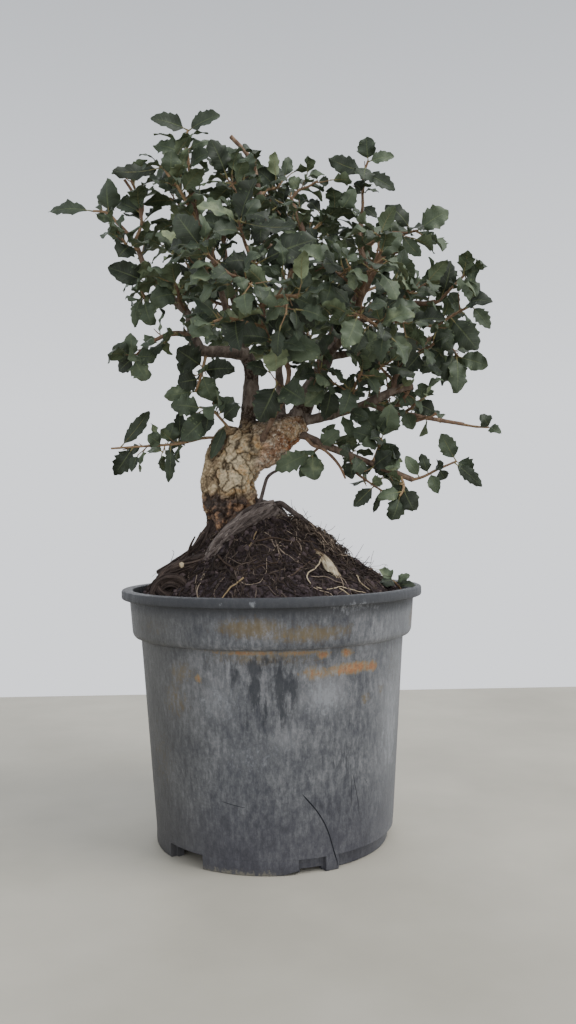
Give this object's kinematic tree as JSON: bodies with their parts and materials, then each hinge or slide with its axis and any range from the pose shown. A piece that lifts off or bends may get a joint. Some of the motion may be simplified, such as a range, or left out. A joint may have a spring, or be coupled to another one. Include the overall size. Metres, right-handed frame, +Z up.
{
  "type": "potted bonsai tree",
  "caption": "Cork oak bonsai: a gnarled corky trunk that divides into bent limbs with toothed evergreen leaves, rooted in dark soil in a round grey pot.",
  "frame": {"origin": "centre of the pot's base, on the surface that it stands on", "axes": "+Z up along the pot's axis, -Y towards the side that the picture shows as the front, +X to the right from there"},
  "size_m": [0.2918, 0.2111, 0.4587],
  "materials": {
    "pot": "weathered grey plastic",
    "soil": "dark crumbly potting soil with fine roots",
    "wood": "rough furrowed cork bark",
    "leaves": "leathery green leaves, slightly glossy above"
  },
  "bodies": {
    "root": {"pot": "pot", "soil": "soil", "soil_shoot": "leaves", "spray_back_l1": "leaves", "spray_back_l2": "leaves", "spray_back_l3": "leaves", "spray_back_m1": "leaves", "spray_back_m2": "leaves", "spray_back_n1": "leaves", "spray_back_n2": "leaves", "spray_back_n3": "leaves", "spray_front_e1": "leaves", "spray_front_e2": "leaves", "spray_front_leaf": "leaves", "spray_front_left": "leaves", "spray_front_mid": "leaves", "spray_front_p1": "leaves", "spray_front_p2": "leaves", "spray_front_p3": "leaves", "spray_front_pair": "leaves", "spray_front_top": "leaves", "spray_inner_a1": "leaves", "spray_inner_b1": "leaves", "spray_inner_g1": "leaves", "spray_inner_g2": "leaves", "spray_inner_h1": "leaves", "spray_inner_h2": "leaves", "spray_inner_i1": "leaves", "spray_inner_j1": "leaves", "spray_inner_k1": "leaves", "spray_left_cluster": "leaves", "spray_left_dark": "leaves", "spray_left_inner": "leaves", "spray_left_low": "leaves", "spray_left_low_big": "leaves", "spray_left_mid": "leaves", "spray_left_stub": "leaves", "spray_left_tip": "leaves", "spray_limb_b_top": "leaves", "spray_limb_c_end": "leaves", "spray_limb_c_low": "leaves", "spray_limb_c_up": "leaves", "spray_low_mid": "leaves", "spray_lower_left": "leaves", "spray_right_bright": "leaves", "spray_right_low": "leaves", "spray_right_outer_mid": "leaves", "spray_right_outer_top": "leaves", "spray_right_stub": "leaves", "spray_thin_end": "leaves", "spray_thin_mid": "leaves", "spray_top_back": "leaves", "spray_top_cut": "leaves", "spray_top_left": "leaves", "spray_top_mid": "leaves", "spray_top_right": "leaves", "spray_top_small": "leaves", "spray_under_arm": "leaves", "spray_upper_left": "leaves", "trunk_and_limbs": "wood"}
  },
  "joints": []
}
